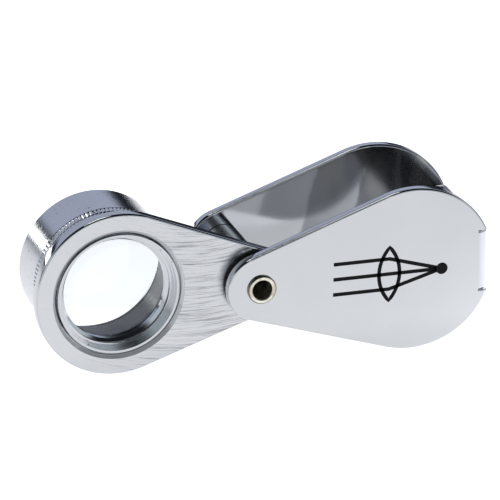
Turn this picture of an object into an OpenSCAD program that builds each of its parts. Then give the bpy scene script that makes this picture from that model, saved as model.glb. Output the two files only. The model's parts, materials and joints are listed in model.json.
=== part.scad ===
// Folding pocket loupe: a doublet lens in a turned barrel, carried on a plate that
// turns on a hollow rivet and swings out of a case bent from one strip of sheet.
//
// X runs along the open loupe, Y through the thickness of the case, Z up.
// The loupe stands on edge, opened flat, and the origin is under its middle.
// A depth is measured towards +Y from the outer face of the front cheek.

/* [Case] */
// Overall thickness of the case, over both cheeks
case_depth = 17.8; // [16.5:0.1:24]
// Thickness of the sheet that the case is bent from
sheet_t = 1.4; // [0.8:0.1:1.8]
// Radius of the round end of a cheek
cheek_r = 11.1; // [9:0.1:14]
// Radius of the pivot end of a cheek
cheek_tip_r = 4.5; // [3.6:0.1:6]
// How far each cheek's round end reaches past the start of the bend
cheek_reach = 2.1; // [1:0.1:4]
// Width of the bridge that joins the two cheeks
bridge_w = 8.2; // [5:0.1:10]
// Radius on the inside of each bend
bend_in_r = 0.2; // [0.1:0.05:0.6]
// Relief cut beside each bend
bend_relief = 0.15; // [0.1:0.05:0.4]
// Rounding of the sheet's edges
edge_r = 0.3; // [0.1:0.05:0.4]
// Gap between the closed lens holder and the bridge
closed_gap = 0.3; // [0.2:0.05:1]

/* [Lens holder] */
// Radius of the round end of the lens plate
plate_r = 11.0; // [10:0.1:13.2]
// Radius of the pivot end of the lens plate
plate_tip_r = 4.6; // [3.6:0.1:6]
// Distance from the pivot to the lens axis
plate_len = 18.4; // [17:0.1:22.1]
// Thickness of the lens plate
plate_t = 1.7; // [1.4:0.1:2.2]
// Outer radius of the lens barrel
barrel_r = 9.67; // [9.4:0.01:9.9]
// Length of the barrel behind the plate
barrel_len = 10.85; // [9.5:0.05:11.8]
// Length of the barrel's knurled band, from the plate
knurl_len = 4.3; // [2:0.1:6]
// Depth of the knurled band below the barrel's surface
knurl_depth = 0.12; // [0.05:0.01:0.2]
// Small chamfer on turned edges
turned_chamfer = 0.15; // [0.05:0.05:0.3]

/* [Lenses] */
// Diameter of each glass
glass_d = 15.0; // [14:0.1:15.4]
// Thickness of each glass at its centre
glass_t = 2.8; // [2.2:0.1:3.2]
// Radius of the curved face of each glass
glass_curve_r = 23; // [20:0.5:40]
// Distance between the two curved faces at the axis
glass_gap = 3.35; // [3:0.05:4.2]
// Radial clearance of the glass in the barrel
glass_clearance = 0.05; // [0.02:0.01:0.1]
// Radius of the opening in the barrel's rear lip
stop_r = 7.13; // [6.5:0.01:7.2]
// Wall of the blackened tube between the glasses
tube_wall = 0.35; // [0.25:0.05:0.6]
// Gap between each end of the tube and its glass
seat_gap = 0.02; // [0.01:0.01:0.05]

/* [Retaining ring] */
// Depth of the ring's front face below the plate's face
ring_recess = 0.2; // [0.1:0.05:0.6]
// Thickness of the ring
ring_t = 2.65; // [2:0.05:3]
// Radius of the ring's clear opening
ring_open_r = 6.8; // [6.4:0.05:7]
// Width of the flat land around the ring's face
ring_land = 0.3; // [0.2:0.05:0.4]
// Depth of each of the two steps inside the land
ring_step = 0.6; // [0.3:0.05:0.7]
// Width of the first step
ring_tread = 0.2; // [0.1:0.05:0.3]
// Width of the bevel around the opening
ring_bevel_w = 0.4; // [0.2:0.05:0.5]
// Depth of the bevel around the opening
ring_bevel_d = 0.25; // [0.1:0.05:0.4]
// Thickness of the ring at its opening
ring_lip = 0.7; // [0.3:0.05:0.9]
// Radius of the thread's crests in the barrel's mouth
thread_r = 8.15; // [7.9:0.05:8.3]
// Depth of the thread
thread_depth = 0.2; // [0.1:0.05:0.25]
// Pitch of the thread
thread_pitch = 0.5; // [0.4:0.05:0.6]
// Clearance between the ring's edge and the thread's crests
thread_clearance = 0.05; // [0.02:0.01:0.1]
// Length of the undercut between the ring and the floor of the mouth
thread_relief = 0.3; // [0.2:0.05:0.5]
// Clearance of the plate's mouth around the thread
mouth_clearance = 0.05; // [0.02:0.01:0.1]
// Chamfer around the plate's mouth
mouth_chamfer = 0.4; // [0.1:0.05:0.45]

/* [Pivot] */
// Radius of the hole through the hollow rivet
rivet_hole_r = 1.3; // [0.9:0.05:1.4]
// Wall of the hollow rivet
rivet_wall = 0.3; // [0.2:0.05:0.5]
// How far each rolled rim stands out sideways from the shank
rivet_rim = 0.32; // [0.2:0.02:0.6]
// How far each rolled rim stands proud of its cheek
rivet_proud = 0.42; // [0.3:0.02:0.6]
// Running clearance around the rivet's shank
pivot_clearance = 0.05; // [0.02:0.01:0.1]
// Radius of the spacer sleeve
sleeve_r = 2.6; // [2.2:0.05:3.2]
// Radius of the friction washer
washer_r = 3.4; // [2.6:0.1:3.6]
// Thickness of the friction washer
washer_t = 0.76; // [0.4:0.02:1]
// Radius of the spring washer
spring_r = 3.1; // [2.6:0.1:3.5]
// Thickness of the spring washer's sheet
spring_t = 0.2; // [0.15:0.05:0.3]
// Height of the spring washer as fitted
spring_h = 0.55; // [0.4:0.05:0.8]
// Play beside each face that slides on the lens plate
slide_play = 0.02; // [0.01:0.01:0.05]

/* [Stance] */
// Height of the pivot above the table, with both round ends resting on it
stand_h = 10.62; // [10:0.01:12]

/* [Hidden] */
$fn = 96;
// Overlap that makes neighbouring solids of one piece join
join = 0.5;
// A cut runs this far past the face that it opens
past = 1;
// A flank lies this far inside the tangent of its two discs, so that it meets them cleanly
tuck = 0.006;
// Flats that make up one rounded edge of the sheet
edge_steps = 3;

// Depths along the case, from the front cheek's outer face
plate_front = sheet_t + washer_t + 2 * slide_play;
plate_back = plate_front + plate_t;
barrel_back = plate_back + barrel_len;
rear_cheek_front = case_depth - sheet_t;
ring_front = plate_front + ring_recess;
front_glass_face = ring_front + ring_t;
rear_glass_face = front_glass_face + 2 * glass_t + glass_gap;
glass_r = glass_d / 2;
glass_bore_r = glass_r + glass_clearance;
tube_r = glass_r - tube_wall;
// Thickness of a glass where the tube's inner edge bears on its curved face
glass_seat_t = glass_t - glass_curve_r + sqrt(pow(glass_curve_r, 2) - pow(tube_r, 2));
spacer_front = front_glass_face + glass_seat_t + seat_gap;
spacer_back = rear_glass_face - glass_seat_t - seat_gap;

// The barrel's mouth: a spigot in the plate, and a threaded counterbore for the ring
spigot_r = (barrel_r + thread_r + thread_depth) / 2;
spigot_len = plate_t / 2;
mouth_r = thread_r + thread_depth + mouth_clearance;
mouth_floor = front_glass_face + thread_relief;

// The bridge stands just beyond the closed lens holder
bridge_inner = plate_len + plate_r + closed_gap;
bridge_outer = bridge_inner + sheet_t;
bend_out_r = bend_in_r + sheet_t;
bend_x = bridge_outer - bend_out_r;
// Distance from the pivot to the centre of a cheek's round end
cheek_len = bend_x + cheek_reach - cheek_r;

// Rises of the two axes from the pivot, with both round ends on the table
case_rise = asin((cheek_r - stand_h) / cheek_len);
lens_rise = asin((plate_r - stand_h) / plate_len);

// The pivot's place along X puts the origin under the middle of the open loupe
left_reach = plate_len * cos(lens_rise) + plate_r;
right_reach = (bridge_outer - edge_r) * cos(case_rise)
    + (bridge_w / 2 - edge_r) * sin(case_rise) + edge_r;
pivot_x = (left_reach - right_reach) / 2;

shank_r = rivet_hole_r + rivet_wall;
pivot_bore_r = shank_r + pivot_clearance;

// Places a piece of the case: X from the pivot along the cheek, Y from the case's middle
module on_case() {
    translate([pivot_x, 0, stand_h]) rotate([0, -case_rise, 0]) children();
}

// Places a piece of the lens holder: X from the pivot towards the lens
module on_holder() {
    translate([pivot_x, 0, stand_h]) rotate([0, lens_rise - 180, 0]) children();
}

// Stands a flat piece, drawn in the XY plane, on edge with its front face at a depth
module at_depth(depth, thickness) {
    rotate([90, 0, 0]) translate([0, 0, case_depth / 2 - depth - thickness]) children();
}

// Turns a profile of [radius, depth] points about the Y axis
module turned(profile) {
    translate([0, -case_depth / 2, 0]) rotate([-90, 0, 0]) rotate_extrude() polygon(profile);
}

// Points that round an outline's corner, from one angle to another about a centre
function corner(centre, from) =
    [for (i = [0:edge_steps]) let (a = from + 90 * i / edge_steps) centre + edge_r * [cos(a), sin(a)]];

// Half section of a sheet whose outer edge, at width w, is rounded on both sides
module edge_section(w, thickness) {
    polygon(concat([[0, 0]], corner([w - edge_r, edge_r], -90),
        corner([w - edge_r, thickness - edge_r], 0), [[0, thickness]]));
}

// A teardrop of sheet with rounded edges: two discs, the flanks that touch them both, and a core
module teardrop(r0, r1, len, thickness) {
    slope = asin((r1 - r0) / len);
    flank = sqrt(pow(len, 2) - pow(r1 - r0, 2));
    strip = r0 / 2;
    core0 = r0 - strip / 2;
    core1 = r1 - strip / 2;
    up = [-sin(slope), cos(slope)];
    down = [-sin(slope), -cos(slope)];
    rotate_extrude() edge_section(r0, thickness);
    translate([len, 0, 0]) rotate_extrude() edge_section(r1, thickness);
    linear_extrude(thickness)
        polygon([core0 * up, core0 * down, [len, 0] + core1 * down, [len, 0] + core1 * up]);
    for (side = [0, 1]) mirror([0, side, 0]) rotate([0, 0, slope])
        translate([0, r0 - strip - tuck, 0]) rotate([90, 0, 90])
            linear_extrude(flank) edge_section(strip, thickness);
}

// Section across the bridge: the sheet's thickness along X, its width along Y
module bridge_section() {
    inset = [sheet_t, bridge_w] / 2 - [edge_r, edge_r];
    translate([bend_in_r + sheet_t / 2, 0]) polygon(concat(
        corner(inset, 0), corner([-inset[0], inset[1]], 90),
        corner(-inset, 180), corner([inset[0], -inset[1]], 270)));
}

// One cheek, with its pivot hole, cut back where the bridge bends away from it
module cheek(depth) {
    difference() {
        at_depth(depth, sheet_t) difference() {
            teardrop(cheek_tip_r, cheek_r, cheek_len, sheet_t);
            translate([0, 0, -past]) cylinder(r = shank_r, h = sheet_t + 2 * past);
        }
        translate([bend_x, -case_depth, -bridge_w / 2 - bend_relief])
            cube([cheek_r, 2 * case_depth, bridge_w + 2 * bend_relief]);
    }
}

module bridge() {
    bend_y = case_depth / 2 - bend_out_r;
    translate([bend_x, 0, 0]) {
        rotate([90, 0, 0]) linear_extrude(2 * bend_y, center = true) bridge_section();
        for (side = [0, 1]) mirror([0, side, 0]) {
            translate([0, bend_y, 0]) rotate_extrude(angle = 90) bridge_section();
            translate([-join, bend_y, 0]) rotate([0, 90, 0]) rotate([0, 0, 90])
                linear_extrude(join) bridge_section();
        }
    }
}

module case() {
    color("gainsboro") on_case() {
        cheek(0);
        cheek(rear_cheek_front);
        bridge();
    }
}

// Hollow rivet with a rounded rolled rim at each end
module pivot_rivet() {
    rim_r = shank_r + rivet_rim;
    round_r = rivet_proud / 2;
    color("darkkhaki") on_case() rotate([90, 0, 0]) rotate_extrude() {
        translate([rivet_hole_r, -case_depth / 2]) square([rivet_wall, case_depth]);
        for (side = [0, 1]) mirror([0, side]) translate([0, case_depth / 2]) {
            translate([rivet_hole_r, 0]) square([rim_r - rivet_hole_r, rivet_proud - round_r]);
            translate([rivet_hole_r + round_r, 0])
                square([rim_r - rivet_hole_r - 2 * round_r, rivet_proud]);
            for (x = [rivet_hole_r + round_r, rim_r - round_r])
                translate([x, rivet_proud - round_r]) circle(round_r);
        }
    }
}

// Tube that keeps the rear cheek and the lens plate apart
module spacer_sleeve() {
    front = plate_back + spring_h + 2 * slide_play;
    c = turned_chamfer;
    color("silver") on_case() turned([
        [pivot_bore_r, front], [sleeve_r - c, front], [sleeve_r, front + c],
        [sleeve_r, rear_cheek_front - c], [sleeve_r - c, rear_cheek_front],
        [pivot_bore_r, rear_cheek_front]]);
}

module friction_washer() {
    front = sheet_t + slide_play;
    color("dimgray") on_case() turned([
        [pivot_bore_r, front], [washer_r, front],
        [washer_r, front + washer_t], [pivot_bore_r, front + washer_t]]);
}

// Dished washer: its outer rim bears on the lens plate, its inner rim on the sleeve
module spring_washer() {
    front = plate_back + slide_play;
    rise = spring_h - spring_t;
    color("lightslategray") on_case() turned([
        [pivot_bore_r, front + rise], [spring_r, front],
        [spring_r, front + spring_t], [pivot_bore_r, front + rise + spring_t]]);
}

// Teardrop plate with the barrel's spigot let into its back
module lens_plate() {
    color("lightgray") on_holder() difference() {
        at_depth(plate_front, plate_t) difference() {
            teardrop(plate_tip_r, plate_r, plate_len, plate_t);
            translate([0, 0, -past]) cylinder(r = pivot_bore_r, h = plate_t + 2 * past);
        }
        translate([plate_len, 0, 0]) turned([
            [0, plate_front - past], [mouth_r + mouth_chamfer, plate_front - past],
            [mouth_r + mouth_chamfer, plate_front], [mouth_r, plate_front + mouth_chamfer],
            [mouth_r, plate_back - spigot_len], [spigot_r, plate_back - spigot_len],
            [spigot_r, plate_back + past], [0, plate_back + past]]);
    }
}

// Turned barrel: threaded mouth, knurled band, glass bore and rear lip
module lens_barrel() {
    c = turned_chamfer;
    spigot_front = plate_back - spigot_len;
    knurl_root = barrel_r - knurl_depth;
    knurl_back = plate_back + knurl_len;
    groove_r = thread_r + thread_depth;
    grooves = floor((front_glass_face - spigot_front) / thread_pitch);
    color("gray") on_holder() translate([plate_len, 0, 0]) turned(concat(
        [[spigot_r, spigot_front], [spigot_r, plate_back], [barrel_r - c, plate_back],
         [barrel_r, plate_back + c], [barrel_r, plate_back + 2 * c],
         [knurl_root, plate_back + 3 * c], [knurl_root, knurl_back - c], [barrel_r, knurl_back],
         [barrel_r, barrel_back - c], [barrel_r - c, barrel_back],
         [stop_r + c, barrel_back], [stop_r, barrel_back - c], [stop_r, rear_glass_face],
         [glass_bore_r, rear_glass_face], [glass_bore_r, mouth_floor], [groove_r, mouth_floor]],
        [for (i = [grooves - 1:-1:0]) each [
            [groove_r, spigot_front + (i + 1) * thread_pitch],
            [thread_r, spigot_front + (i + 0.5) * thread_pitch]]],
        [[groove_r, spigot_front]]));
}

// Threaded ring, stepped and bevelled down to the glass
module retaining_ring() {
    outer = thread_r - thread_clearance;
    land = outer - ring_land;
    tread = land - ring_tread;
    bevel_r = ring_open_r + ring_bevel_w;
    bevel_back = front_glass_face - ring_lip;
    color("silver") on_holder() translate([plate_len, 0, 0]) turned([
        [outer, ring_front], [land, ring_front],
        [land, ring_front + ring_step], [tread, ring_front + ring_step],
        [tread, ring_front + 2 * ring_step], [bevel_r, ring_front + 2 * ring_step],
        [bevel_r, bevel_back - ring_bevel_d], [ring_open_r, bevel_back],
        [ring_open_r, front_glass_face], [outer, front_glass_face]]);
}

// Flat-backed glass: its flat face at a depth, its curved face towards +Y or -Y
module glass(face, towards) {
    color("lightcyan", 0.5) on_holder()
        translate([plate_len, face - case_depth / 2, 0]) rotate([-90 * towards, 0, 0])
            intersection() {
                cylinder(r = glass_r, h = glass_t);
                translate([0, 0, glass_t - glass_curve_r]) sphere(glass_curve_r, $fn = 180);
            }
}

module front_lens() {
    glass(front_glass_face, 1);
}

module rear_lens() {
    glass(rear_glass_face, -1);
}

// Blackened tube between the two glasses
module lens_spacer() {
    color("darkslategray") on_holder() translate([plate_len, 0, 0]) turned([
        [tube_r, spacer_front], [glass_r, spacer_front],
        [glass_r, spacer_back], [tube_r, spacer_back]]);
}

case();
pivot_rivet();
spacer_sleeve();
friction_washer();
spring_washer();
lens_plate();
lens_barrel();
retaining_ring();
front_lens();
lens_spacer();
rear_lens();
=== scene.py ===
import json
import math

import bmesh
import bpy
import numpy as np
from mathutils import Matrix, Vector


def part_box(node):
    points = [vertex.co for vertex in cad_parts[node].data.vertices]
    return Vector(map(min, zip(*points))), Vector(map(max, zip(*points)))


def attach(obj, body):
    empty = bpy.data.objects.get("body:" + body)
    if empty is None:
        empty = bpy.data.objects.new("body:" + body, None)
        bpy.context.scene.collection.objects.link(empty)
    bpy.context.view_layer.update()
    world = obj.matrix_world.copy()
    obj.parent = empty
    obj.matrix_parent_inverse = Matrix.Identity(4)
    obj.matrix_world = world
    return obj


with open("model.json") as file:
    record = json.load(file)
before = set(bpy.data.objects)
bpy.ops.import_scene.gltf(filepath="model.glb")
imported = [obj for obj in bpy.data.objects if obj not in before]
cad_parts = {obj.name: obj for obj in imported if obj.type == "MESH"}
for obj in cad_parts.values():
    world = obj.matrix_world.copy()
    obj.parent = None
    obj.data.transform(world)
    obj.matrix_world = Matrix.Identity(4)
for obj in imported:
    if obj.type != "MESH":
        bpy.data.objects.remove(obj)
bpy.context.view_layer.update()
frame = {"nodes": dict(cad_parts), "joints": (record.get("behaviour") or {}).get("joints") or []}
scene = bpy.context.scene
mm = 0.001

joint = frame["joints"][0]
pivot = Vector(joint["pos_m"])
caseLow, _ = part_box("case")
plateLow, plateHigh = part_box("lens_plate")
barrelLow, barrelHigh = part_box("lens_barrel")
faceY = caseLow.y  # outer face of the front cheek
lensAxis = (barrelLow + barrelHigh) / 2  # the barrel is round about Y, so its box is centred on it
print("frame loaded, pivot", [round(c / mm, 3) for c in pivot])


cameraPlace = {"turn": 18.59, "tilt": 22.02, "roll": 1.12, "right": -1.4996, "up": 5.0205,
               "distance": 787.9, "lens": 443.1, "sensor": 36.0}


def makeCamera(c):
    turn, tilt, roll = (math.radians(c[k]) for k in ("turn", "tilt", "roll"))
    ahead = Vector((math.sin(turn) * math.cos(tilt), math.cos(turn) * math.cos(tilt), -math.sin(tilt)))
    right = Vector((math.cos(turn), -math.sin(turn), 0))
    up = right.cross(ahead)
    right, up = (math.cos(roll) * right + math.sin(roll) * up,
                 math.cos(roll) * up - math.sin(roll) * right)
    target = Vector((pivot.x, faceY, pivot.z))
    eye = target + (c["right"] * right + c["up"] * up - c["distance"] * ahead) * mm
    data = bpy.data.cameras.new("camera")
    data.lens, data.sensor_width = c["lens"], c["sensor"]
    data.clip_start, data.clip_end = 0.01, 20
    camera = bpy.data.objects.new("camera", data)
    scene.collection.objects.link(camera)
    turned = Matrix((right, up, -ahead)).transposed()
    camera.matrix_world = Matrix.Translation(eye) @ turned.to_4x4()
    scene.camera = camera


makeCamera(cameraPlace)


class Wire:
    def __init__(self, finish, socket):
        self.finish, self.socket = finish, socket

    def out(self, name):
        return Wire(self.finish, self.socket.node.outputs[name])

    def math(self, operation, *others, clamp=False):
        settings = {"operation": operation, "use_clamp": clamp}
        return self.finish.node("ShaderNodeMath", settings, [self, *others])

    def __add__(self, other):
        return self.math("ADD", other)

    def __radd__(self, other):
        return self.math("ADD", other)

    def __sub__(self, other):
        return self.math("SUBTRACT", other)

    def __rsub__(self, other):
        return self.finish.node("ShaderNodeMath", {"operation": "SUBTRACT"}, [other, self])

    def __mul__(self, other):
        return self.math("MULTIPLY", other)

    def __rmul__(self, other):
        return self.math("MULTIPLY", other)

    def __truediv__(self, other):
        return self.math("DIVIDE", other)

    def __rtruediv__(self, other):
        return self.finish.node("ShaderNodeMath", {"operation": "DIVIDE"}, [other, self])

    def __pow__(self, other):
        return self.math("POWER", other)

    def fade(self, start, end):
        settings = {"interpolation_type": "SMOOTHSTEP", "clamp": True}
        return self.finish.node("ShaderNodeMapRange", settings,
                                {"Value": self, "From Min": start, "From Max": end})


class Finish:
    def __init__(self, name, owner=None, tree=None):
        if tree is None:
            self.owner = owner or bpy.data.materials.new(name)
            self.owner.use_nodes = True
            tree = self.owner.node_tree
            tree.nodes.clear()
        self.tree = tree

    def node(self, kind, settings=None, sockets=None, out=0):
        made = self.tree.nodes.new(kind)
        for key, value in (settings or {}).items():
            if key == "stops":
                ramp = made.color_ramp
                while len(ramp.elements) < len(value):
                    ramp.elements.new(0.5)
                for element, (place, colour) in zip(ramp.elements, value):
                    element.position, element.color = place, (*colour, 1)
            else:
                setattr(made, key, value)
        pairs = sockets.items() if isinstance(sockets, dict) else enumerate(sockets or [])
        for key, value in pairs:
            if isinstance(value, Wire):
                self.tree.links.new(value.socket, made.inputs[key])
            elif isinstance(value, (tuple, list, Vector)) and made.inputs[key].type == "RGBA":
                made.inputs[key].default_value = (*value, 1)
            else:
                made.inputs[key].default_value = value
        return Wire(self, made.outputs[out] if made.outputs else None)

    def place(self):
        return self.node("ShaderNodeTexCoord").out("Object")

    def mapped(self, vector, move=(0, 0, 0), turn=(0, 0, 0), scale=(1, 1, 1)):
        return self.node("ShaderNodeMapping", {}, {"Vector": vector, "Location": move, "Rotation": turn,
                                                   "Scale": scale})

    def split(self, vector):
        made = self.node("ShaderNodeSeparateXYZ", {}, [vector])
        return made.out("X"), made.out("Y"), made.out("Z")

    def join(self, x, y, z):
        return self.node("ShaderNodeCombineXYZ", {}, [x, y, z])

    def noise(self, vector, scale, detail=3, roughness=0.5):
        return self.node("ShaderNodeTexNoise", {}, {"Vector": vector, "Scale": scale, "Detail": detail,
                                                    "Roughness": roughness})

    def mix(self, share, first, second, blend="MIX"):
        made = self.node("ShaderNodeMix", {"data_type": "RGBA", "blend_type": blend},
                         {0: share, 6: first, 7: second})
        return Wire(self, made.socket.node.outputs[2])

    def bump(self, height, strength, distance, normal=None):
        sockets = {"Strength": strength, "Distance": distance, "Height": height}
        if normal:
            sockets["Normal"] = normal
        return self.node("ShaderNodeBump", {}, sockets)

    def surface(self, **sockets):
        names = {key.replace("_", " "): value for key, value in sockets.items()}
        made = self.node("ShaderNodeBsdfPrincipled", {}, names)
        self.node("ShaderNodeOutputMaterial", {}, {"Surface": made})
        return self.owner


studio = {"floorSize": 6.0, "nearGlow": 0.80, "farGlow": 0.25, "brightSide": 0.45, "nearReach": 0.02,
          "farReach": 0.32, "sideReach": 0.12, "seenGlow": 1.1, "floorColour": (0.86, 0.865, 0.87),
          "horizon": (0.02, 0.023, 0.03), "backWall": (0.46, 0.50, 0.63), "canopy": (0.012, 0.013, 0.016),
          "frontWall": (0.62, 0.68, 0.72), "strip": (3.2, 3.2, 3.2), "seenBehind": (1.0, 1.0, 1.0)}


def makeFloor(s):
    half = s["floorSize"] / 2
    mesh = bpy.data.meshes.new("floor")
    mesh.from_pydata([(-half, -half, 0), (half, -half, 0), (half, half, 0), (-half, half, 0)], [],
                     [(0, 1, 2, 3)])
    floor = bpy.data.objects.new("floor", mesh)
    scene.collection.objects.link(floor)
    f = Finish("pale floor")
    x, y, _ = f.split(f.place())
    distance = (x * x + y * y) ** 0.5
    near = 1 - distance.fade(s["nearReach"], s["farReach"])
    side = (x * 0.8 + y * 0.6).fade(0.0, 0.04) * (1 - distance.fade(0.04, s["sideReach"]))
    glow = near * (s["nearGlow"] - s["farGlow"]) + s["farGlow"] + side * s["brightSide"]
    seen = f.node("ShaderNodeLightPath").out("Is Camera Ray")
    lit = glow + seen * (s["seenGlow"] - glow)
    f.surface(Base_Color=s["floorColour"], Roughness=0.9, Specular_IOR_Level=0.1,
              Emission_Color=f.join(lit, lit, lit * 1.02), Emission_Strength=1.0)
    mesh.materials.append(f.owner)


def makeWorld(s):
    world = bpy.data.worlds.new("studio")
    scene.world = world
    f = Finish("studio", world)
    x, y, z = f.split(f.node("ShaderNodeTexCoord").out("Generated"))
    back = f.node("ShaderNodeValToRGB", {"stops": [(0.20, s["horizon"]), (0.26, s["backWall"]),
                                                   (0.50, s["backWall"]), (0.60, s["canopy"])]}, [z])
    front = f.node("ShaderNodeValToRGB", {"stops": [(0.36, s["frontWall"]), (0.46, s["canopy"])]}, [z])
    wall = f.mix(y.fade(-0.05, 0.3), front, back)
    bearing = x.math("ARCTAN2", y)
    left = bearing.fade(-0.75, -0.70) * (1 - bearing.fade(-0.36, -0.32))
    strip = left * z.fade(0.02, 0.03) * (1 - z.fade(0.13, 0.15))
    lit = f.mix(strip, wall, s["strip"])
    seen = f.node("ShaderNodeLightPath").out("Is Camera Ray")
    f.node("ShaderNodeOutputWorld", {}, {"Surface": f.node(
        "ShaderNodeBackground", {}, {"Color": f.mix(seen, lit, s["seenBehind"]), "Strength": 1.0})})


softLights = [
    {"name": "overhead", "at": (-0.15, 0.3, 1.1), "size": (0.5, 0.35), "power": 2.0},
]


def makeLights(lights):
    for s in lights:
        data = bpy.data.lights.new(s["name"], "AREA")
        data.shape, data.size, data.size_y, data.energy = "RECTANGLE", *s["size"], s["power"]
        light = bpy.data.objects.new(s["name"], data)
        scene.collection.objects.link(light)
        light.location = s["at"]
        light.rotation_euler = (-Vector(s["at"])).to_track_quat("-Z", "Y").to_euler()


makeFloor(studio)
makeWorld(studio)
makeLights(softLights)
scene.view_settings.view_transform = "Standard"
print("camera, floor and studio light ready")


smoothAngle = 34  # degrees between two flat facets that still shade as one


def smoothShade(obj, angle):
    mesh = obj.data
    count = len(mesh.polygons)
    corners = np.zeros(count * 3, np.int64)
    mesh.loops.foreach_get("vertex_index", corners)
    points = np.zeros(len(mesh.vertices) * 3)
    mesh.vertices.foreach_get("co", points)
    points = points.reshape(-1, 3)
    _, shared = np.unique(np.round(points / 1e-7).astype(np.int64), axis=0, return_inverse=True)
    shared = shared.reshape(-1)[corners].reshape(-1, 3)
    triangle = points[corners].reshape(-1, 3, 3)
    cross = np.cross(triangle[:, 1] - triangle[:, 0], triangle[:, 2] - triangle[:, 0])
    area = np.linalg.norm(cross, axis=1) / 2
    normal = cross / np.maximum(2 * area, 1e-30)[:, None]
    parent = list(range(count))

    def root(i):
        while parent[i] != i:
            parent[i] = parent[parent[i]]
            i = parent[i]
        return i

    edges = {}
    for i in range(count):
        for k in range(3):
            key = tuple(sorted((int(shared[i, k]), int(shared[i, (k + 1) % 3]))))
            for j in edges.get(key, ()):
                if normal[i] @ normal[j] > 0.999998:
                    parent[root(i)] = root(j)
            edges.setdefault(key, []).append(i)
    regions = np.array([root(i) for i in range(count)])
    flatArea = np.bincount(regions, area, count)[regions]
    weight = np.zeros((count, 3))
    for k in range(3):
        a = triangle[:, (k + 1) % 3] - triangle[:, k]
        b = triangle[:, (k + 2) % 3] - triangle[:, k]
        size = np.maximum(np.linalg.norm(a, axis=1) * np.linalg.norm(b, axis=1), 1e-30)
        weight[:, k] = np.arccos(np.clip((a * b).sum(1) / size, -1, 1)) * flatArea
    meeting = {}
    for i in range(count):
        for k in range(3):
            meeting.setdefault(int(shared[i, k]), []).append((i, k))
    near = math.cos(math.radians(angle))
    normals = np.zeros((count * 3, 3))
    for group in meeting.values():
        faces = np.array([i for i, _ in group])
        weights = np.array([weight[i, k] for i, k in group])
        alike = (normal[faces] @ normal[faces].T) > near
        total = (alike * weights[None, :]) @ normal[faces]
        for (i, k), n in zip(group, total):
            normals[3 * i + k] = n / max(np.linalg.norm(n), 1e-30)
    mesh.polygons.foreach_set("use_smooth", np.ones(count, bool))
    mesh.normals_split_custom_set(normals.tolist())


for name, obj in frame["nodes"].items():
    smoothShade(obj, smoothAngle)
print("packed solids shaded")


def fromAxis(f, centre):
    x, y, z = f.split(f.place())
    dx, dz = x - centre.x, z - centre.z
    return (dx * dx + dz * dz) ** 0.5, dz.math("ARCTAN2", dx), y


def polishedChrome(c):
    f = Finish("polished chrome")
    place = f.place()
    x, y, z = f.split(place)
    along, depth, high = (x - pivot.x) / mm, (y - faceY) / mm, (z - pivot.z) / mm
    inner = depth.fade(*c["innerFrom"]) * (1 - depth.fade(*c["innerTo"]))
    haze = f.noise(place, 90, 4)
    cloud = f.noise(f.mapped(place, scale=(1, 1, 0.35)), 260, 5, 0.65)
    # painted shade: the inner faces of the cheeks are darkened towards the bend, where the fold lies in shade
    foldShade = (along + cloud * 3 - high * 0.25).fade(*c["foldShadeFrom"]) * inner
    # painted shade and brown stain: darker, brownish streaks on the inner faces next to the bridge
    bridgeShadeAndStain = (along + cloud * 4).fade(*c["bridgeShadeAndStainFrom"]) * inner
    hairlines = f.noise(f.mapped(place, turn=(0, 0.35, 0), scale=(0.25, 1, 6)), 900, 4, 0.6)
    plated = f.mix(haze, c["dark"], c["light"])
    # a dark colour blended with a warm brown, for that painted shade and stain
    shadeAndStain = f.mix(cloud.fade(0.42, 0.6), c["foldShade"], c["warm"])
    f.surface(Base_Color=f.mix(bridgeShadeAndStain * 0.5, f.mix(foldShade * 0.55, plated, c["foldShade"]), shadeAndStain), Metallic=1.0,
              Roughness=c["rough"] + haze * c["hazeRough"] + hairlines * 0.02 + foldShade * 0.05,
              Normal=f.bump(hairlines + cloud * inner * 0.6, c["bump"], 0.01 * mm))
    return f.owner


def brushedChrome(c):
    f = Finish("brushed chrome")
    x, y, z = f.split(f.place())
    middle, half = (plateLow.y + plateHigh.y) / 2, (plateHigh.y - plateLow.y) / 2
    face = (y - middle).math("ABSOLUTE").fade(half - 0.03 * mm, half - 0.01 * mm)
    dx, dz = x - c["centre"][0] * mm, z - c["centre"][1] * mm
    radius = (dx * dx + dz * dz) ** 0.5
    along = dz.math("ARCTAN2", dx)
    grain = f.join(radius / mm * c["across"], along * c["along"], y / mm * 0.5)
    fine = f.noise(grain, 1.0, 6, 0.75)
    broad = f.noise(f.join(radius / mm * c["across"] * 0.22, along * c["along"] * 0.6, y / mm), 1.0, 3)
    dense = (x - lensAxis.x).fade(-6 * mm, 10 * mm) * c["denser"]
    streaks = (fine - dense + broad * 0.25).fade(c["from"], c["to"])
    # painted light: the wall of the lens mouth is paler and mostly matte, so it reads lighter than the chrome
    # around it
    rim = (((x - lensAxis.x) ** 2 + (z - lensAxis.z) ** 2) ** 0.5) / mm
    mouth = 1 - rim.fade(*c["mouthRadius"])
    brushed = f.mix(streaks, c["dark"], c["light"])
    f.surface(Base_Color=f.mix(mouth, f.mix(face, c["edge"], brushed), c["mouth"]),
              Metallic=1 - mouth * 0.75,
              Roughness=0.06 + face * (c["rough"] + broad * 0.08),
              Normal=f.bump((fine + broad * 0.5) * face, c["bump"], 0.02 * mm))
    return f.owner


def turnedChrome(c):
    f = Finish("turned chrome")
    radius, around, y = fromAxis(f, lensAxis)
    lathe = f.noise(f.join(radius / mm * 9, around * 2.0, y / mm * 9), 1.0, 5, 0.65)
    specks = f.noise(f.place(), 1500, 4, 0.6).fade(0.62, 0.72)
    haze = f.noise(f.place(), 120, 3)
    plated = f.mix(haze, c["dark"], c["light"])
    f.surface(Base_Color=f.mix(specks * c["specks"], plated, c["grime"]), Metallic=1.0,
              Roughness=c["rough"] + lathe * 0.08, Normal=f.bump(lathe, c["bump"], 0.02 * mm))
    return f.owner


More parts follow.
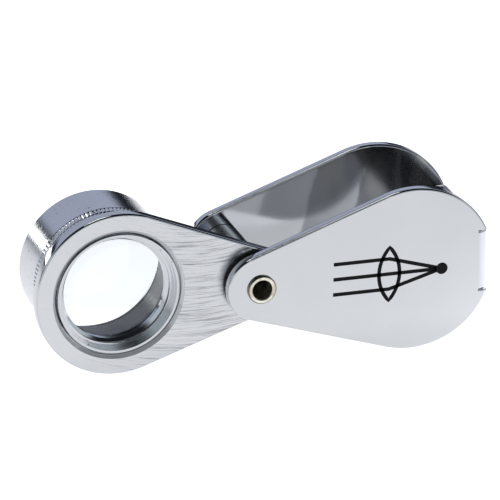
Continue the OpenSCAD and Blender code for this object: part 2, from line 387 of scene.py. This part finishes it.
def rivetBrass(c):
    f = Finish("plated brass")
    radius, _, _ = fromAxis(f, pivot)
    # painted shade: the bore wall is darkened to near black and made less metallic, with a brown tarnish tint
    inside = 1 - (radius / mm).fade(c["bore"] - 0.02, c["bore"] + 0.06)
    # painted shade: a dark ring around the outer edge of the rim, where it meets the cheek
    rimEdgeShade = (radius / mm).fade(c["rim"] - 0.16, c["rim"] - 0.04)
    haze = f.noise(f.place(), 700, 5, 0.6)
    plated = f.mix(haze.fade(0.35, 0.65), c["dark"], c["light"])
    # the bore's dark colour blended with brown: painted shade with tarnish
    shadeAndStain = f.mix(haze.fade(0.4, 0.7), c["inside"], c["shadeAndStain"])
    f.surface(Base_Color=f.mix(inside, f.mix(rimEdgeShade * 0.8, plated, c["inside"]), shadeAndStain),
              Metallic=1 - inside * 0.6, Roughness=c["rough"] + haze * 0.1 + inside * 0.25,
              Normal=f.bump(haze, c["bump"], 0.05 * mm))
    return f.owner


def plainMetal(name, c):
    f = Finish(name)
    haze = f.noise(f.place(), c["scale"], 4)
    f.surface(Base_Color=f.mix(haze, c["dark"], c["light"]), Metallic=c["metal"],
              Specular_IOR_Level=c.get("shine", 0.5),
              Roughness=c["rough"] + haze * 0.1, Normal=f.bump(haze, c["bump"], 0.02 * mm))
    return f.owner


def tubeBlack(c):
    f = Finish("blackened tube")
    radius, around, y = fromAxis(f, lensAxis)
    rings = f.noise(f.join(radius / mm * 2, around * 1.5, y / mm * 5), 1.0, 5, 0.7)
    specks = f.noise(f.place(), 1800, 3).fade(0.66, 0.72)
    shade = f.mix(rings.fade(0.45, 0.75), c["dark"], c["light"])
    f.surface(Base_Color=f.mix(specks, shade, c["dust"]), Metallic=0.6,
              Roughness=c["rough"] + rings * 0.2, Normal=f.bump(rings, c["bump"], 0.02 * mm))
    return f.owner


def lensGlass(c):
    f = Finish("lens glass")
    specks = f.noise(f.place(), 2600, 2).fade(0.74, 0.8)
    f.surface(Base_Color=c["tint"], Roughness=specks * 0.12, IOR=1.52, Transmission_Weight=1.0,
              Coat_Weight=0.0)
    return f.owner


# The darkest colour and the warm colour, with the two ranges along the case, paint shade on the inner faces
# towards the bend and brown stain next to the bridge.
caseChrome = polishedChrome({"dark": (0.60, 0.615, 0.63), "light": (0.67, 0.68, 0.69), "rough": 0.04,
                             "hazeRough": 0.02, "bump": 0.04, "foldShade": (0.13, 0.14, 0.16),
                             "warm": (0.42, 0.40, 0.37), "innerFrom": (1.3, 1.38),
                             "innerTo": (16.45, 16.55), "foldShadeFrom": (18.5, 19.2),
                             "bridgeShadeAndStainFrom": (25.5, 26.5)})
# The pale colour and its radius paint light on the wall of the lens mouth.
plateChrome = brushedChrome({"centre": (-8.0, 42.0), "across": 15.0, "along": 5.0, "dark": (0.16, 0.17, 0.19),
                             "light": (0.66, 0.67, 0.685), "edge": (0.6, 0.615, 0.635), "rough": 0.12,
                             "bump": 0.3, "mouth": (0.72, 0.73, 0.75), "mouthRadius": (8.78, 8.82),
                             "denser": 0.10, "from": 0.38, "to": 0.52})
latheChrome = turnedChrome({"dark": (0.58, 0.595, 0.62), "light": (0.66, 0.675, 0.69), "rough": 0.05,
                            "bump": 0.35, "specks": 0.7, "grime": (0.20, 0.16, 0.12)})
# The darkest colour paints shade in the bore and at the outer edge of the rim; the brown one tints the bore
# as tarnish.
brass = rivetBrass({"dark": (0.52, 0.47, 0.36), "light": (0.90, 0.87, 0.78), "inside": (0.07, 0.055, 0.03),
                    "shadeAndStain": (0.30, 0.25, 0.14), "bore": 1.3, "rim": 1.85, "rough": 0.10, "bump": 0.5})
fibre = plainMetal("washer fibre", {"scale": 1500, "dark": (0.02, 0.02, 0.02), "light": (0.06, 0.055, 0.05),
                                    "metal": 0.0, "rough": 0.6, "bump": 0.6})
spring = plainMetal("spring steel", {"scale": 600, "dark": (0.35, 0.35, 0.36), "light": (0.5, 0.5, 0.51),
                                     "metal": 1.0, "rough": 0.25, "bump": 0.1})
ink = plainMetal("black ink", {"scale": 1200, "dark": (0.008, 0.008, 0.009), "light": (0.02, 0.02, 0.022),
                               "metal": 0.0, "rough": 0.6, "bump": 0.2, "shine": 0.05})
blackened = tubeBlack({"dark": (0.01, 0.01, 0.012), "light": (0.16, 0.165, 0.18), "dust": (0.5, 0.5, 0.52),
                       "rough": 0.25, "bump": 0.4})
glass = lensGlass({"tint": (0.97, 0.99, 1.0)})
finishes = {"case": caseChrome, "pivot_rivet": brass, "spacer_sleeve": latheChrome,
            "friction_washer": fibre, "spring_washer": spring, "lens_plate": plateChrome,
            "lens_barrel": latheChrome, "retaining_ring": latheChrome, "front_lens": glass,
            "lens_spacer": blackened, "rear_lens": glass}
for name, material in finishes.items():
    obj = frame["nodes"][name]
    obj.data.materials.clear()
    obj.data.materials.append(material)
print("finishes on", len(finishes), "packed solids")


knurl = {"teeth": 112, "root": 9.54, "tip": 9.665, "start": 7.1, "end": 8.15, "tipShare": 0.45,
         "endTaper": 0.12}


def knurlTree(k):
    tree = bpy.data.node_groups.new("knurled band", "GeometryNodeTree")
    face = tree.interface
    face.new_socket("Geometry", in_out="OUTPUT", socket_type="NodeSocketGeometry")
    inputs = {"Teeth": "NodeSocketInt", "Root radius": "NodeSocketFloat", "Tooth height": "NodeSocketFloat",
              "Length": "NodeSocketFloat", "Tip share": "NodeSocketFloat", "End taper": "NodeSocketFloat",
              "Centre": "NodeSocketVector", "Metal": "NodeSocketMaterial"}
    ids = {n: face.new_socket(n, in_out="INPUT", socket_type=t).identifier for n, t in inputs.items()}
    g = Finish("knurled band", tree=tree)
    given = g.node("NodeGroupInput")
    teeth, root, high, length, tip, taper, centre, metal = (given.out(n) for n in inputs)
    width = root * (2 * math.pi) / teeth
    tooth = g.node("GeometryNodeMeshCube", {}, {"Size": g.join(high, width, length)})
    x, y, z = g.split(g.node("GeometryNodeInputPosition"))
    outer = x.math("GREATER_THAN", 0)
    narrowed = g.join(x, y * (1 - outer * (1 - tip)), z * (1 - outer * taper / length))
    shaped = g.node("GeometryNodeSetPosition", {}, {"Geometry": tooth, "Position": narrowed})
    moved = g.node("GeometryNodeTransform", {}, {"Geometry": shaped,
                   "Translation": g.join(root + high / 2, 0, 0)})
    ring = g.node("GeometryNodeMeshCircle", {}, {"Vertices": teeth, "Radius": root})
    middle = g.node("GeometryNodeSetPosition", {}, {"Geometry": ring, "Position": g.join(0, 0, 0)})
    angle = g.node("GeometryNodeInputIndex") * (2 * math.pi) / teeth
    placed = g.node("GeometryNodeInstanceOnPoints", {}, {"Points": middle, "Instance": moved,
                                                         "Rotation": g.join(0, 0, angle)})
    solid = g.node("GeometryNodeRealizeInstances", {}, {"Geometry": placed})
    stood = g.node("GeometryNodeTransform", {}, {"Geometry": solid, "Translation": centre,
                                                 "Rotation": (math.pi / 2, 0, 0)})
    painted = g.node("GeometryNodeSetMaterial", {}, {"Geometry": stood, "Material": metal})
    g.node("NodeGroupOutput", {}, {"Geometry": painted})
    return tree, ids


def makeKnurl(k):
    tree, ids = knurlTree(k)
    mesh = bpy.data.meshes.new("knurl start")
    maker = bpy.data.objects.new("knurl maker", mesh)
    scene.collection.objects.link(maker)
    modifier = maker.modifiers.new("knurled band", "NODES")
    modifier.node_group = tree
    centre = (lensAxis.x, faceY + (k["start"] + k["end"]) / 2 * mm, lensAxis.z)
    values = {"Teeth": k["teeth"], "Root radius": k["root"] * mm, "Tooth height": (k["tip"] - k["root"]) * mm,
              "Length": (k["end"] - k["start"]) * mm, "Tip share": k["tipShare"],
              "End taper": k["endTaper"] * mm, "Centre": centre, "Metal": latheChrome}
    for name, value in values.items():
        modifier[ids[name]] = value
    depsgraph = bpy.context.evaluated_depsgraph_get()
    made = bpy.data.meshes.new_from_object(maker.evaluated_get(depsgraph))
    made.name = "knurled_band"
    bpy.data.objects.remove(maker)
    band = bpy.data.objects.new("knurled_band", made)
    scene.collection.objects.link(band)
    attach(band, "lens_holder")
    print("knurled band:", len(made.polygons), "faces")


makeKnurl(knurl)


# A plain optical diagram in black ink on the front cheek: a lens, three rays and their focus
diagram = {"centre": (17.3, 0.2), "stroke": 0.5, "proud": 0.02, "sunk": 0.01, "lensHigh": 7.4,
           "lensThick": 2.8, "rayStart": -7.6, "raySpread": 2.1, "focus": 7.2, "dot": 0.8, "steps": 20}


def onCheek(u, v, out):
    d = diagram
    return (pivot.x + (d["centre"][0] + u) * mm, faceY - out * mm, pivot.z + (d["centre"][1] + v) * mm)


def addStroke(verts, faces, path, closed=False):
    half, count, first = diagram["stroke"] / 2, len(path), len(verts)
    for i, (u, v) in enumerate(path):
        before = path[i - 1] if closed or i else path[i]
        after = path[(i + 1) % count] if closed or i < count - 1 else path[i]
        run = Vector((after[0] - before[0], after[1] - before[1])).normalized() * half
        for side, out in ((1, -diagram["sunk"]), (-1, -diagram["sunk"]), (-1, diagram["proud"]),
                          (1, diagram["proud"])):
            verts.append(onCheek(u - run.y * side, v + run.x * side, out))
    for i in range(count if closed else count - 1):
        a, b = first + 4 * i, first + 4 * ((i + 1) % count)
        faces += [(a + k, a + (k + 1) % 4, b + (k + 1) % 4, b + k) for k in range(4)]
    if not closed:
        faces.append(tuple(first + k for k in range(4)))
        faces.append(tuple(first + 4 * (count - 1) + k for k in range(4)))


def addDot(verts, faces, centre, radius, steps):
    first = len(verts)
    for out in (-diagram["sunk"], diagram["proud"] * 1.5):
        for i in range(steps):
            turn = 2 * math.pi * i / steps
            verts.append(onCheek(centre + radius * math.cos(turn), radius * math.sin(turn), out))
    faces += [tuple(range(first, first + steps)), tuple(range(first + steps, first + 2 * steps))]
    for i in range(steps):
        j = (i + 1) % steps
        faces.append((first + i, first + j, first + steps + j, first + steps + i))


def makeDiagram(d):
    verts, faces = [], []
    high, thick = d["lensHigh"] / 2, d["lensThick"] / 2
    bend = (high ** 2 + thick ** 2) / (2 * thick)  # radius of each face of the drawn lens
    reach = math.asin(high / bend)
    arc = [(bend * math.cos(a) - bend + thick, bend * math.sin(a))
           for a in (reach * (2 * i / d["steps"] - 1) for i in range(d["steps"]))]
    addStroke(verts, faces, arc + [(-u, -v) for u, v in arc], closed=True)
    for ray in (-1, 0, 1):
        level = ray * d["raySpread"]
        addStroke(verts, faces, [(d["rayStart"], level), (0, level), (d["focus"], 0)])
    addDot(verts, faces, d["focus"], d["dot"], d["steps"])
    mesh = bpy.data.meshes.new("lens_diagram")
    mesh.from_pydata(verts, [], faces)
    made = bmesh.new()
    made.from_mesh(mesh)
    bmesh.ops.recalc_face_normals(made, faces=made.faces)
    made.to_mesh(mesh)
    made.free()
    mesh.materials.append(ink)
    mark = bpy.data.objects.new("lens_diagram", mesh)
    scene.collection.objects.link(mark)
    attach(mark, "case")
    print("lens diagram:", len(mesh.polygons), "faces")


makeDiagram(diagram)
